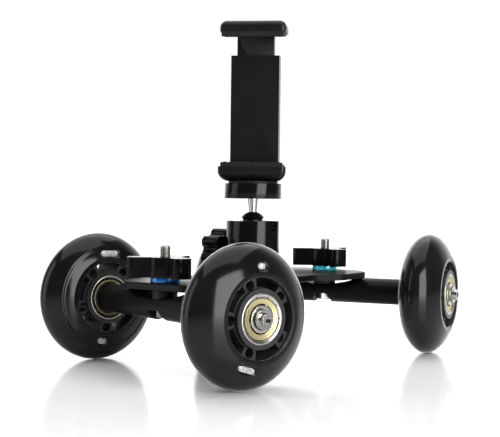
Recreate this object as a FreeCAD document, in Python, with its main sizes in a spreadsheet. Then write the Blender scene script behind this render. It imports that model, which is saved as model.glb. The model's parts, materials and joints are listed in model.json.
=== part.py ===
"""Table-top phone dolly: four skate wheels, two steered axles, a ball head and a phone clamp.

Frame: +X towards the front axle, +Y to the left, +Z up, origin on the floor under the deck's
centre. Millimetres. Wheels and axle pieces are modelled in their own local frames and placed.
"""
import FreeCAD, Part
import math
import os
import Sketcher
from FreeCAD import Placement, Rotation, Vector

doc = FreeCAD.newDocument("phone_dolly")
sheet = doc.addObject("Spreadsheet::Sheet", "dims")

SIZES = [
    ("axle_height", 32.0, "wheel centre above the floor"),
    ("half_track", 59.7, "pivot to the middle of a wheel, along the axle"),
    ("half_wheelbase", 67.6, "deck centre to a pivot"),
    ("steer_angle", 13.8, "how far each axle is turned at rest"),
    ("wheel_radius", 32.0, "tyre crown"),
    ("tyre_bulge", 14.9, "half width of the ellipsoid that the crown follows"),
    ("tyre_width", 23.2, "tyre, face to face"),
    ("rim_radius", 18.6, "outside of the core's rim"),
    ("rim_inner", 17.6, "inside of the core's rim"),
    ("rim_width", 21.9, "core's rim, edge to edge"),
    ("web_width", 18.6, "spoked web"),
    ("hub_radius", 13.0, "outside of the core's hub"),
    ("hub_width", 23.6, "core's hub, end to end"),
    ("window_inner", 13.4, "inside of a large window between the spokes"),
    ("window_span", 45.0, "angle that a large window covers"),
    ("small_hole_radius", 2.25, "round hole in the fork of a spoke"),
    ("small_hole_pitch", 14.95, "its distance from the axle"),
    ("spoke_count", 5, "forked spokes"),
    ("rear_left_turn", 19.0, "angle of the first spoke at rest"),
    ("rear_right_turn", 36.0, "angle of the first spoke at rest"),
    ("front_left_turn", 10.0, "angle of the first spoke at rest"),
    ("front_right_turn", 43.0, "angle of the first spoke at rest"),
    ("bearing_radius", 11.0, "608 bearing, outside"),
    ("bearing_bore", 4.0, "608 bearing, bore radius"),
    ("bearing_width", 7.0, "608 bearing, width"),
    ("bearing_face", 12.0, "wheel centre to the outer face of a bearing"),
    ("outer_land", 9.2, "inside radius of the outer ring"),
    ("inner_land", 5.9, "outside radius of the inner ring"),
    ("ball_pitch", 7.5, "radius of the ring of bearing balls"),
    ("bearing_ball", 1.95, "bearing ball radius"),
    ("race_radius", 2.0, "radius of the grooves the balls run in"),
    ("bearing_balls", 7, "balls in each bearing"),
    ("shield_inner", 6.15, "shield, inside radius"),
    ("shield_thick", 0.4, "shield thickness"),
    ("shield_depth", 0.35, "shield below the bearing's face"),
    ("sleeve_radius", 3.98, "axle sleeve in the bearings"),
    ("sleeve_shoulder", 5.4, "axle sleeve between the bearings"),
    ("axle_thread", 2.5, "M5 axle screw, thread radius"),
    ("axle_thread_depth", 15.0, "M5 axle screw in the beam"),
    ("sleeve_neck", 3.4, "neck of the axle sleeve outside the bearing"),
    ("sleeve_neck_height", 0.9, "length of that neck"),
    ("axle_flange_radius", 4.4, "flange of the axle screw's head"),
    ("axle_flange_height", 1.1, "thickness of that flange"),
    ("axle_nose_radius", 2.8, "nose of the axle screw's head"),
    ("axle_nose_height", 2.0, "height of that nose"),
    ("hex_key_radius", 1.73, "3 mm hexagon socket, corner radius"),
    ("hex_key_depth", 1.6, "hexagon socket depth"),
    ("beam_radius", 7.0, "round axle beam"),
    ("scoop_half", 20.0, "half length of the scoop on top of a beam"),
    ("beam_flat", 35.0, "height of the scoop's bottom"),
    ("land_half", 6.4, "half length of the flat under the spacer"),
    ("notch_roof", 30.0, "height of the roof of the bolt's notch"),
    ("notch_top_half", 4.2, "half length of the notch at its roof"),
    ("notch_low_half", 5.6, "half length of the notch at its mouth"),
    ("pivot_thread", 2.5, "M5 pivot bolt, radius"),
    ("pivot_bolt_top", 60.2, "height of the pivot bolt's end"),
    ("pivot_head_height", 3.6, "hexagon head of the pivot bolt"),
    ("pivot_head_corner", 4.6, "corner radius of that head"),
    ("pivot_clear", 2.56, "hole radius for the pivot bolt to turn in"),
    ("deck_low", 39.4, "underside of the deck"),
    ("deck_top", 42.8, "top of the deck"),
    ("deck_half_length", 75.6, "deck centre to its end"),
    ("deck_end_half", 18.5, "half width at the end"),
    ("deck_corner_x", 67.0, "where the flared end starts to close"),
    ("deck_corner_half", 27.4, "half width there"),
    ("deck_flare_x", 43.0, "widest point of the flared end"),
    ("deck_flare_half", 28.8, "half width there"),
    ("deck_waist_x", 26.0, "where the waist ends"),
    ("deck_waist_half", 20.0, "half width of the waist"),
    ("deck_end_round", 7.0, "rounding at the end"),
    ("deck_corner_round", 6.0, "rounding where the end starts to close"),
    ("deck_flare_round", 6.0, "rounding at the widest point"),
    ("deck_waist_round", 14.0, "rounding at the end of the waist"),
    ("deck_edge", 0.4, "chamfer round the deck"),
    ("spacer_radius", 6.0, "black spacer under the deck"),
    ("washer_radius", 6.9, "anodised washer on the deck"),
    ("washer_top", 45.3, "top of that washer"),
    ("knob_top", 54.8, "top of a pivot knob"),
    ("knob_hub", 8.6, "pivot knob, hub radius"),
    ("knob_arm", 17.9, "pivot knob, reach of an arm"),
    ("knob_arm_width", 9.2, "pivot knob, width of an arm"),
    ("knob_tip_round", 2.9, "pivot knob, rounding of an arm's corners"),
    ("rear_knob_angle", 132.0, "angle of the rear knob's first arm at rest"),
    ("front_knob_angle", 123.0, "angle of the front knob's first arm at rest"),
    ("insert_radius", 3.6, "threaded insert, outside"),
    ("head_screw_length", 15.0, "head screw, from the deck's underside to its end"),
    ("head_screw_head", 5.5, "head screw, head radius"),
    ("head_screw_height", 4.0, "head screw, head height"),
    ("head_screw_key", 2.75, "head screw, corner radius of its socket"),
    ("head_screw_key_depth", 2.4, "head screw, depth of its socket"),
    ("head_radius", 13.65, "ball head housing"),
    ("head_top", 71.0, "top of the housing"),
    ("ball_height", 68.5, "centre of the ball"),
    ("ball_radius", 7.3, "ball"),
    ("groove_pitch", 6.6, "groove round the ball's neck, ring radius"),
    ("groove_radius", 1.6, "that groove's own radius"),
    ("groove_height", 71.2, "height of that groove"),
    ("seat_gap", 0.05, "clearance round the ball"),
    ("seat_thick", 0.95, "nylon seat under the ball"),
    ("seat_rim", 62.0, "rim of the nylon seat"),
    ("plug_top", 63.2, "top of the base plug"),
    ("plug_thread", 11.6, "depth of the plug's threaded hole"),
    ("bore_radius", 9.0, "housing bore"),
    ("bore_top", 67.8, "top of that bore"),
    ("drop_half", 2.95, "half width of the drop notch"),
    ("drop_round", 2.0, "rounding of the notch's top corners"),
    ("lock_height", 54.8, "axis of the lock knob"),
    ("lock_tip", 6.6, "inner end of the lock screw"),
    ("lock_neck", 5.5, "neck of the lock knob"),
    ("lock_neck_start", 14.05, "where the neck starts"),
    ("lock_start", 15.2, "inner face of the lock knob's grip"),
    ("lock_end", 25.4, "outer face of the lock knob's grip"),
    ("lock_lobe_pitch", 8.2, "ring that the lobes sit on"),
    ("lock_lobe", 3.4, "lobe radius"),
    ("lock_core", 8.9, "grip radius between the lobes"),
    ("lock_lobes", 6, "lobes"),
    ("lock_lobe_turn", 33.0, "angle of the first lobe"),
    ("lock_thread", 2.5, "M5 lock screw, radius"),
    ("lock_cap", 3.0, "plastic left over the screw's outer end"),
    ("lock_clear", 2.56, "hole for the lock screw to turn in"),
    ("stem_pin", 1.95, "pin of the stem inside the ball"),
    ("stem_low", 2.1, "stem radius above the ball"),
    ("stem_high", 2.7, "stem radius under the platform"),
    ("stem_root", 64.5, "lower end of the pin"),
    ("stem_foot", 75.6, "height where the pin ends and the cone starts"),
    ("platform_low", 82.3, "underside of the platform"),
    ("platform_top", 90.0, "top of the platform"),
    ("platform_radius", 14.6, "platform disc"),
    ("friction_radius", 12.7, "rubber disc on the platform"),
    ("clamp_low", 91.2, "underside of the clamp"),
    ("camera_thread", 3.175, "quarter inch camera thread, radius"),
    ("clamp_turn", -60.1, "how far the clamp is turned about the stem"),
    ("jaw_half", 17.75, "half width of the lower jaw at its front"),
    ("jaw_back_half", 14.9, "half width of the lower jaw at its back"),
    ("jaw_front", 9.5, "stem axis to the jaws' front"),
    ("jaw_back", 10.5, "stem axis to the jaws' back"),
    ("jaw_corner", 2.4, "rounding of the jaws' upright front corners"),
    ("jaw_floor", 98.6, "lower jaw under its pad"),
    ("jaw_round", 4.9, "rounding of the lower jaw's bottom corners"),
    ("slide_half", 16.9, "half width of the upper jaw"),
    ("slide_taper", 3.5, "stem axis to where the upper jaw starts to narrow"),
    ("slide_back_half", 14.4, "half width of the upper jaw at its back"),
    ("slide_roof", 166.8, "upper jaw above its pad"),
    ("slide_top", 172.6, "top of the upper jaw"),
    ("slide_round", 3.6, "rounding of the upper jaw's top corners"),
    ("pad_thick", 1.4, "rubber pads"),
    ("pad_lip", 1.8, "thickness of the pads' front lips"),
    ("low_pad_half", 15.8, "half width of the lower pad"),
    ("low_pad_lip", 2.4, "how far the lower pad's lip stands up"),
    ("high_pad_half", 15.9, "half width of the upper pad"),
    ("high_pad_lip", 2.8, "how far the upper pad's lip hangs down"),
    ("spine_front", 2.6, "stem axis to the front of the spine"),
    ("spine_half", 12.5, "half width of the spine"),
    ("spine_top", 156.0, "top of the spine"),
    ("tongue_half", 9.6, "half width of the sliding tongue"),
    ("tongue_front", 4.4, "stem axis to the tongue's front"),
    ("tongue_back", 8.6, "stem axis to the tongue's back"),
    ("tongue_low", 124.0, "lower end of the tongue"),
    ("slide_clear", 0.1, "clearance round the tongue"),
    ("cavity_low", 103.0, "floor of the spring cavity"),
    ("camera_screw_low", 84.0, "lower end of the camera screw"),
    ("camera_screw_top", 97.0, "upper end of the camera screw"),
    ("spring_radius", 1.7, "spring, to the middle of its wire"),
    ("spring_wire", 0.3, "wire radius"),
    ("spring_apart", 5.6, "spring axis from the clamp's middle"),
    ("spring_pitch", 1.25, "spring pitch"),
]

for line, (alias, number, note) in enumerate(SIZES, start=1):
    sheet.set(f"A{line}", alias)
    sheet.set(f"B{line}", str(number))
    sheet.set(f"C{line}", note)
    sheet.setAlias(f"B{line}", alias)
doc.recompute()

PARTS = []
UP = Vector(0, 0, 1)
ALONG_X = Vector(1, 0, 0)
ALONG_Y = Vector(0, 1, 0)
TURN_Z_TO_Y = Rotation(ALONG_X, -90)


def value(expression):
    """The number that an expression on the sheet gives."""
    return float(sheet.evalExpression(expression))


def bind(obj, **sizes):
    """Ties properties to expressions on the sheet."""
    for prop, expression in sizes.items():
        obj.setExpression(prop, expression)
    return obj


def lift(obj, height):
    """Raises an object by an expression."""
    obj.setExpression("Placement.Base.z", height)
    return obj


def keep(obj, label, place=None):
    """Names a finished sub-part, places it and lists it for export."""
    obj.Label = label
    if place is not None:
        obj.Placement = place
    PARTS.append(obj)
    return obj


def rod(name, radius, length, low="0"):
    """A round bar along local Z that starts at height low."""
    obj = doc.addObject("Part::Cylinder", name)
    return lift(bind(obj, Radius=radius, Height=length), low)


def ball(name, radius, height="0"):
    """A sphere centred at a height on local Z."""
    obj = doc.addObject("Part::Sphere", name)
    return lift(bind(obj, Radius=radius), height)


def block(name, size, corner):
    """A box with its lowest corner at corner; both are triples of expressions."""
    obj = doc.addObject("Part::Box", name)
    bind(obj, Length=size[0], Width=size[1], Height=size[2])
    for axis, place in zip("xyz", corner):
        obj.setExpression(f"Placement.Base.{axis}", place)
    return obj


def prism(name, corner_radius, height, low="0"):
    """A hexagonal bar along local Z."""
    obj = doc.addObject("Part::Prism", name)
    obj.Polygon = 6
    return lift(bind(obj, Circumradius=corner_radius, Height=height), low)


def fuse(name, pieces):
    """One solid of several that meet."""
    obj = doc.addObject("Part::MultiFuse", name)
    obj.Shapes = pieces
    return obj


def cut(name, base, tools):
    """Base less the tools."""
    obj = doc.addObject("Part::Cut", name)
    obj.Base = base
    obj.Tool = tools[0] if len(tools) == 1 else fuse(name + "_tools", tools)
    return obj


def common(name, pieces):
    """What the pieces share."""
    obj = doc.addObject("Part::MultiCommon", name)
    obj.Shapes = pieces
    return obj


def group(name, pieces):
    """Separate solids that share one node."""
    obj = doc.addObject("Part::Compound", name)
    obj.Links = pieces
    return obj


def ring(name, outer, inner, length, low):
    """A tube along local Z."""
    bar = rod(name + "_bar", outer, length, low)
    bore = rod(name + "_bore", inner, length, low)
    return cut(name, bar, [bore])


def origin_plane(body, role):
    """A body's own origin plane."""
    return next(item for item in body.Origin.OriginFeatures if item.Role == role)


def new_sketch(body, name, role="XY_Plane", height=None):
    """A sketch on one of the body's origin planes, raised by an expression."""
    sketch = body.newObject("Sketcher::SketchObject", name)
    sketch.AttachmentSupport = [(origin_plane(body, role), "")]
    sketch.MapMode = "FlatFace"
    if height:
        sketch.setExpression("AttachmentOffset.Base.z", height)
    return sketch


def tie(sketch, kind, item, end, expression):
    """Holds one end of a sketch item at a distance from the sketch's origin."""
    rule = Sketcher.Constraint(kind, -1, 1, item, end, value(expression))
    index = sketch.addConstraint(rule)
    sketch.setExpression(f"Constraints[{index}]", expression)


def outline(sketch, corners):
    """A closed outline of straight lines; each corner is a pair of expressions."""
    points = [Vector(value(x), value(y), 0) for x, y in corners]
    first = sketch.GeometryCount
    count = len(points)
    for index, start in enumerate(points):
        sketch.addGeometry(Part.LineSegment(start, points[(index + 1) % count]), False)
    for index in range(count):
        after = first + (index + 1) % count
        sketch.addConstraint(Sketcher.Constraint("Coincident", first + index, 2, after, 1))
    for index, (x, y) in enumerate(corners):
        tie(sketch, "DistanceX", first + index, 1, x)
        tie(sketch, "DistanceY", first + index, 1, y)


def circle(sketch, radius, x="0", y="0"):
    """A circle whose radius and centre are expressions."""
    centre = Vector(value(x), value(y), 0)
    item = sketch.addGeometry(Part.Circle(centre, UP, value(radius)), False)
    index = sketch.addConstraint(Sketcher.Constraint("Radius", item, value(radius)))
    sketch.setExpression(f"Constraints[{index}]", radius)
    tie(sketch, "DistanceX", item, 3, x)
    tie(sketch, "DistanceY", item, 3, y)


def box_outline(sketch, x_low, x_high, y_low, y_high):
    """A rectangle between four expressions."""
    outline(sketch, [(x_low, y_low), (x_high, y_low), (x_high, y_high), (x_low, y_high)])


def pad(body, name, sketch, length, middle=False):
    """A pad of the sketch, or a symmetric one."""
    feature = body.newObject("PartDesign::Pad", name)
    feature.Profile = sketch
    feature.setExpression("Length", length)
    feature.Midplane = middle
    doc.recompute()
    return feature


def pocket(body, name, sketch, length=None, middle=False, flip=False):
    """A pocket of the sketch, through all unless it has a length; it must remove material."""
    before = body.Shape.Volume
    feature = body.newObject("PartDesign::Pocket", name)
    feature.Profile = sketch
    feature.Midplane = middle
    feature.Reversed = flip
    if length:
        feature.setExpression("Length", length)
    else:
        feature.Type = "ThroughAll"
    doc.recompute()
    if body.Shape.Volume >= before - 1e-6:
        raise ValueError(f"{name} removes nothing")
    return feature


def upright_edges(shape, spots, direction=UP):
    """Names of the edges along direction that pass through the given places."""
    names = []
    for number, edge in enumerate(shape.Edges, start=1):
        start, end = edge.Vertexes[0].Point, edge.Vertexes[-1].Point
        run = end - start
        if run.Length < 1e-6 or run.normalize().cross(direction).Length > 1e-6:
            continue
        flat = start - direction * start.dot(direction)
        if any((flat - spot).Length < 1e-3 for spot in spots):
            names.append(f"Edge{number}")
    return names


def dress(body, kind, name, edges, **sizes):
    """A fillet or chamfer on named edges or faces of the body's last feature."""
    base = body.Tip
    feature = body.newObject(kind, name)
    feature.Base = (base, edges)
    bind(feature, **sizes)
    doc.recompute()
    return feature


def round_corners(body, name, spots, radius):
    """Rounds the upright edges at the given (x, y) pairs of expressions."""
    places = [Vector(value(x), value(y), 0) for x, y in spots]
    edges = upright_edges(body.Shape, places)
    if len(edges) < len(spots):
        raise ValueError(f"{name} finds {len(edges)} edges")
    return dress(body, "PartDesign::Fillet", name, edges, Radius=radius)


def four_ways(x, y):
    """A point and its mirror images in X and Y, as pairs of expressions."""
    return [(f"{a}({x})", f"{b}({y})") for a in ("", "-") for b in ("", "-")]


# ---------------------------------------------------------------- places

AXLE = "dims.axle_height"
END_SIGN = {"rear": -1, "front": 1}
SIDE_SIGN = {"left": 1, "right": -1}


def pivot_place(end, height="0"):
    """The pivot's own frame, not turned with the axle."""
    spot = Vector(END_SIGN[end] * value("dims.half_wheelbase"), 0, value(height))
    return Placement(spot, Rotation())


def axle_place(end):
    """The beam's frame: at the pivot, turned by the rest steering angle."""
    turn = Rotation(UP, END_SIGN[end] * value("dims.steer_angle"))
    return pivot_place(end).multiply(Placement(Vector(), turn))


def wheel_place(end, side):
    """The wheel's frame: at its centre, local Z outwards along the axle."""
    sign = SIDE_SIGN[side]
    centre = Vector(0, sign * value("dims.half_track"), value(AXLE))
    outwards = Placement(centre, Rotation(ALONG_X, -90 * sign))
    return axle_place(end).multiply(outwards)


def clamp_place():
    """The clamp's frame: on the stem axis, turned about it, front towards local -Y."""
    return Placement(Vector(), Rotation(UP, value("dims.clamp_turn")))


# ---------------------------------------------------------------- wheels


def tyre(name, place):
    """A slice of an ellipsoid, bored for the core's rim."""
    crown = doc.addObject("Part::Ellipsoid", name + "_crown")
    bind(crown, Radius1="dims.tyre_bulge", Radius2="dims.wheel_radius")
    bind(crown, Radius3="dims.wheel_radius")
    crown.Angle1 = -90
    crown.Angle2 = 90
    low = "-dims.tyre_width / 2"
    slab = rod(name + "_slab", "dims.wheel_radius + 1", "dims.tyre_width", low)
    bore = rod(name + "_bore", "dims.rim_radius", "dims.tyre_width", low)
    round_slab = common(name + "_round", [crown, slab])
    keep(cut(name, round_slab, [bore]), name, place)


def window_sector(name, turn):
    """One large window: a sector of a ring through the web."""
    low = "-dims.web_width / 2 - 1"
    depth = "dims.web_width + 2"
    sector = bind(rod(name + "_out", "dims.rim_inner", depth, low), Angle="dims.window_span")
    core = rod(name + "_in", "dims.window_inner", depth, low)
    window = cut(name, sector, [core])
    window.Placement.Rotation = Rotation(UP, turn - value("dims.window_span") / 2)
    return window


def small_hole(name, turn):
    """One small hole in the fork of a spoke."""
    hole = rod(name, "dims.small_hole_radius", "dims.web_width + 2", "-dims.web_width / 2 - 1")
    angle = math.radians(turn)
    hole.setExpression("Placement.Base.x", f"dims.small_hole_pitch * {math.cos(angle)}")
    hole.setExpression("Placement.Base.y", f"dims.small_hole_pitch * {math.sin(angle)}")
    return hole


def wheel_core(name, place):
    """Hub, web and rim, with forked spokes between large and small windows."""
    hub = rod(name + "_hub", "dims.hub_radius", "dims.hub_width", "-dims.hub_width / 2")
    web = rod(name + "_web", "dims.rim_inner + 0.5", "dims.web_width", "-dims.web_width / 2")
    rim = ring(name + "_rim", "dims.rim_radius", "dims.rim_inner", "dims.rim_width",
               "-dims.rim_width / 2")
    tools = [rod(name + "_bore", "dims.outer_land", "dims.hub_width", "-dims.hub_width / 2")]
    depth = "dims.hub_width / 2 - dims.bearing_face + dims.bearing_width"
    seats = {"in": "-dims.hub_width / 2", "out": "dims.bearing_face - dims.bearing_width"}
    for side, low in seats.items():
        tools.append(rod(f"{name}_seat_{side}", "dims.bearing_radius", depth, low))
    spokes = int(value("dims.spoke_count"))
    for spoke in range(spokes):
        turn = 360 * spoke / spokes
        tools.append(small_hole(f"{name}_hole{spoke}", turn))
        tools.append(window_sector(f"{name}_window{spoke}", turn + 180 / spokes))
    keep(cut(name, fuse(name + "_solid", [hub, web, rim]), tools), name, place)


BEARING_LOWS = {"inner": "-dims.bearing_face", "outer": "dims.bearing_face - dims.bearing_width"}


def race(name, low):
    """The groove that the balls of one bearing run in."""
    groove = doc.addObject("Part::Torus", name)
    bind(groove, Radius1="dims.ball_pitch", Radius2="dims.race_radius")
    return lift(groove, f"{low} + dims.bearing_width / 2")


def bearing_rings(name, place, outer, inner):
    """The two rings of one kind in a wheel, grooved for their balls."""
    rings = []
    for spot, low in BEARING_LOWS.items():
        band = ring(f"{name}_{spot}", outer, inner, "dims.bearing_width", low)
        rings.append(cut(f"{name}_{spot}_grooved", band, [race(f"{name}_{spot}_race", low)]))
    keep(group(name, rings), name, place)


def bearing_balls(name, place):
    """The balls of a wheel's two bearings."""
    balls = []
    count = int(value("dims.bearing_balls"))
    for spot, low in BEARING_LOWS.items():
        for number in range(count):
            angle = 2 * math.pi * number / count
            one = ball(f"{name}_{spot}{number}", "dims.bearing_ball",
                       f"{low} + dims.bearing_width / 2")
            one.setExpression("Placement.Base.x", f"dims.ball_pitch * {math.cos(angle)}")
            one.setExpression("Placement.Base.y", f"dims.ball_pitch * {math.sin(angle)}")
            balls.append(one)
    keep(group(name, balls), name, place)


def bearing_shields(name, place):
    """A thin shield in each face of a wheel's two bearings."""
    shields = []
    for spot, low in BEARING_LOWS.items():
        near = f"{low} + dims.shield_depth"
        far = f"{low} + dims.bearing_width - dims.shield_depth - dims.shield_thick"
        for face, height in (("near", near), ("far", far)):
            shields.append(ring(f"{name}_{spot}_{face}", "dims.outer_land",
                                "dims.shield_inner", "dims.shield_thick", height))
    keep(group(name, shields), name, place)


def axle_sleeve(name, place):
    """The sleeve through both bearings: a shoulder between them and a neck outside them."""
    ends = rod(name + "_ends", "dims.sleeve_radius", "dims.bearing_face * 2", "-dims.bearing_face")
    middle = rod(name + "_middle", "dims.sleeve_shoulder",
                 "(dims.bearing_face - dims.bearing_width) * 2",
                 "dims.bearing_width - dims.bearing_face")
    neck = rod(name + "_neck", "dims.sleeve_neck", "dims.sleeve_neck_height", "dims.bearing_face")
    bore = rod(name + "_bore", "dims.axle_thread",
               "dims.bearing_face * 2 + dims.sleeve_neck_height", "-dims.bearing_face")
    keep(cut(name, fuse(name + "_solid", [ends, middle, neck]), [bore]), name, place)


def axle_screw(name, place):
    """An M5 screw through the sleeve into the beam, with a flange and a domed nose."""
    seat = "dims.bearing_face + dims.sleeve_neck_height"
    top = f"{seat} + dims.axle_flange_height + dims.axle_nose_height"
    low = "-dims.bearing_face - dims.axle_thread_depth"
    shank = rod(name + "_shank", "dims.axle_thread", f"{seat} - ({low})", low)
    flange = rod(name + "_flange", "dims.axle_flange_radius", "dims.axle_flange_height", seat)
    nose = rod(name + "_nose", "dims.axle_nose_radius",
               "dims.axle_flange_height + dims.axle_nose_height", seat)
    key = prism(name + "_key", "dims.hex_key_radius", "dims.hex_key_depth + 1",
                f"{top} - dims.hex_key_depth")
    keep(cut(name, fuse(name + "_solid", [shank, flange, nose]), [key]), name, place)


def wheel(end, side):
    """All the pieces of one wheel and its end of the axle."""
    name = f"{end}_{side}"
    place = wheel_place(end, side)
    spoke_turn = Placement(Vector(), Rotation(UP, value(f"dims.{name}_turn")))
    tyre(f"{name}_tyre", place)
    wheel_core(f"{name}_core", place.multiply(spoke_turn))
    bearing_rings(f"{name}_bearing_outers", place, "dims.bearing_radius", "dims.outer_land")
    bearing_rings(f"{name}_bearing_inners", place, "dims.inner_land", "dims.bearing_bore")
    bearing_balls(f"{name}_bearing_balls", place)
    bearing_shields(f"{name}_bearing_shields", place)
    axle_sleeve(f"{name}_axle_sleeve", place)
    axle_screw(f"{name}_axle_screw", place)


# ---------------------------------------------------------------- axles and deck


def beam(end):
    """A round bar, scooped under the deck and notched for the pivot bolt's head."""
    name = f"{end}_beam"
    body = doc.addObject("PartDesign::Body", name + "_bar_body")
    section = new_sketch(body, name + "_section", "XZ_Plane")
    circle(section, "dims.beam_radius", y=AXLE)
    pad(body, name + "_bar", section, "(dims.half_track - dims.bearing_face) * 2", middle=True)
    width = "dims.beam_radius * 3"
    rise = "(dims.axle_height + dims.beam_radius - dims.beam_flat)"
    sweep = f"(dims.scoop_half ^ 2 + {rise} ^ 2) / (2 * {rise})"
    scoop = new_sketch(body, name + "_scoop_circle", "YZ_Plane")
    circle(scoop, sweep, y=f"dims.beam_flat + {sweep}")
    pocket(body, name + "_scoop", scoop, width, middle=True)
    land = new_sketch(body, name + "_land_outline", "YZ_Plane")
    box_outline(land, "-dims.land_half", "dims.land_half", "dims.beam_flat",
                "dims.axle_height + dims.beam_radius")
    pocket(body, name + "_land", land, width, middle=True)
    notch = new_sketch(body, name + "_notch_outline", "YZ_Plane")
    floor = "dims.axle_height - dims.beam_radius - 1"
    outline(notch, [("-dims.notch_low_half", floor), ("dims.notch_low_half", floor),
                    ("dims.notch_top_half", "dims.notch_roof"),
                    ("-dims.notch_top_half", "dims.notch_roof")])
    pocket(body, name + "_notch", notch, width, middle=True)
    hole = new_sketch(body, name + "_hole_circle", height="dims.beam_flat")
    circle(hole, "dims.pivot_thread")
    pocket(body, name + "_hole", hole)
    screw_holes = []
    for side, sign in SIDE_SIGN.items():
        tool = rod(f"{name}_thread_{side}", "dims.axle_thread", "dims.axle_thread_depth")
        tool.Placement.Rotation = Rotation(ALONG_X, -90 * sign)
        inner = "(dims.half_track - dims.bearing_face - dims.axle_thread_depth)"
        tool.setExpression("Placement.Base.y", f"{sign} * {inner}")
        lift(tool, AXLE)
        screw_holes.append(tool)
    keep(cut(name, body, screw_holes), name, axle_place(end))


def pivot_bolt(end):
    """An M5 hexagon bolt, head in the beam's notch, end above the knob."""
    name = f"{end}_pivot_bolt"
    shank = rod(name + "_shank", "dims.pivot_thread", "dims.pivot_bolt_top - dims.notch_roof",
                "dims.notch_roof")
    head = prism(name + "_head", "dims.pivot_head_corner", "dims.pivot_head_height",
                 "dims.notch_roof - dims.pivot_head_height")
    keep(fuse(name, [shank, head]), name, axle_place(end))


def pivot_rings(name, radius, low, high):
    """A ring round each pivot bolt."""
    rings = []
    for end in END_SIGN:
        one = ring(f"{name}_{end}", radius, "dims.pivot_clear", f"{high} - {low}", low)
        one.Placement = pivot_place(end)
        rings.append(one)
    keep(group(name, rings), name)


def pivot_knob(end):
    """A three-armed knob that clamps the deck to the beam."""
    name = f"{end}_pivot_knob"
    body = doc.addObject("PartDesign::Body", name)
    hub = new_sketch(body, name + "_hub_circle", height="dims.washer_top")
    circle(hub, "dims.knob_hub")
    pad(body, name + "_hub", hub, "dims.knob_top - dims.washer_top")
    arm = new_sketch(body, name + "_arm_outline", height="dims.washer_top")
    half = "dims.knob_arm_width / 2"
    box_outline(arm, "0", "dims.knob_arm", f"-{half}", half)
    arm_pad = pad(body, name + "_arm", arm, "dims.knob_top - dims.washer_top")
    tips = round_arm_tips(body, name, half)
    arms = body.newObject("PartDesign::PolarPattern", name + "_arms")
    arms.Originals = [arm_pad, tips]
    arms.Axis = (origin_plane(body, "Z_Axis"), "")
    arms.Angle = 360
    arms.Occurrences = 3
    body.Tip = arms
    doc.recompute()
    bore = new_sketch(body, name + "_bore_circle", height="dims.knob_top")
    circle(bore, "dims.insert_radius")
    pocket(body, name + "_bore", bore)
    turn = Rotation(UP, value(f"dims.{end}_knob_angle"))
    keep(body, name, pivot_place(end).multiply(Placement(Vector(), turn)))
    insert = ring(f"{name}_insert", "dims.insert_radius", "dims.pivot_clear",
                  "dims.knob_top - dims.washer_top", "dims.washer_top")
    keep(insert, f"{name}_insert", pivot_place(end))


def round_arm_tips(body, name, half):
    """Rounds the two upright edges at an arm's tip."""
    spots = [("dims.knob_arm", half), ("dims.knob_arm", f"-{half}")]
    return round_corners(body, name + "_tips", spots, "dims.knob_tip_round")


def deck_plate():
    """A flat plate with a narrow waist and two flared ends."""
    body = doc.addObject("PartDesign::Body", "deck_plate_body")
    sketch = new_sketch(body, "deck_outline", height="dims.deck_low")
    quarter = [("dims.deck_half_length", "dims.deck_end_half"),
               ("dims.deck_corner_x", "dims.deck_corner_half"),
               ("dims.deck_flare_x", "dims.deck_flare_half"),
               ("dims.deck_waist_x", "dims.deck_waist_half")]
    corners = list(quarter)
    corners += [(f"-{x}", y) for x, y in reversed(quarter)]
    corners += [(f"-{x}", f"-{y}") for x, y in quarter]
    corners += [(x, f"-{y}") for x, y in reversed(quarter)]
    outline(sketch, corners)
    pad(body, "deck_slab", sketch, "dims.deck_top - dims.deck_low")
    for name, spot in zip(("end", "corner", "flare", "waist"), quarter):
        round_corners(body, f"deck_{name}_rounding", four_ways(*spot), f"dims.deck_{name}_round")
    faces = flat_faces(body.Shape)
    dress(body, "PartDesign::Chamfer", "deck_chamfer", faces, Size="dims.deck_edge")
    holes = new_sketch(body, "deck_pivot_holes", height="dims.deck_top")
    circle(holes, "dims.pivot_clear", x="dims.half_wheelbase")
    circle(holes, "dims.pivot_clear", x="-dims.half_wheelbase")
    circle(holes, "dims.camera_thread")
    pocket(body, "deck_holes", holes)
    keep(body, "deck_plate")


def flat_faces(shape):
    """Names of a plate's top and bottom faces."""
    names = []
    for number, face in enumerate(shape.Faces, start=1):
        if abs(face.normalAt(0, 0).z) > 0.999:
            names.append(f"Face{number}")
    return names


def head_screw():
    """The quarter-inch screw that holds the ball head to the deck."""
    shank = rod("head_screw_shank", "dims.camera_thread", "dims.head_screw_length",
                "dims.deck_low")
    low = "dims.deck_low - dims.head_screw_height"
    head = rod("head_screw_disc", "dims.head_screw_head", "dims.head_screw_height", low)
    key = prism("head_screw_hexagon", "dims.head_screw_key", "dims.head_screw_key_depth", low)
    keep(cut("head_screw_solid", fuse("head_screw_whole", [shank, head]), [key]), "head_screw")


# ---------------------------------------------------------------- ball head


def across(tool):
    """Turns a bar to lie along +Y at the lock screw's height."""
    tool.Placement.Rotation = TURN_Z_TO_Y
    return lift(tool, "dims.lock_height")


def y_rod(name, radius, start, end):
    """A bar along Y at the lock screw's height."""
    tool = rod(name, radius, f"{end} - {start}")
    tool.setExpression("Placement.Base.y", start)
    return across(tool)


DROP_REACH = "dims.head_radius + 1"


def away_rod(name, radius, x, height):
    """A bar from the housing's axis out along -Y."""
    tool = rod(name, radius, DROP_REACH)
    tool.Placement.Rotation = Rotation(ALONG_X, 90)
    tool.setExpression("Placement.Base.x", x)
    return lift(tool, height)


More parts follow.
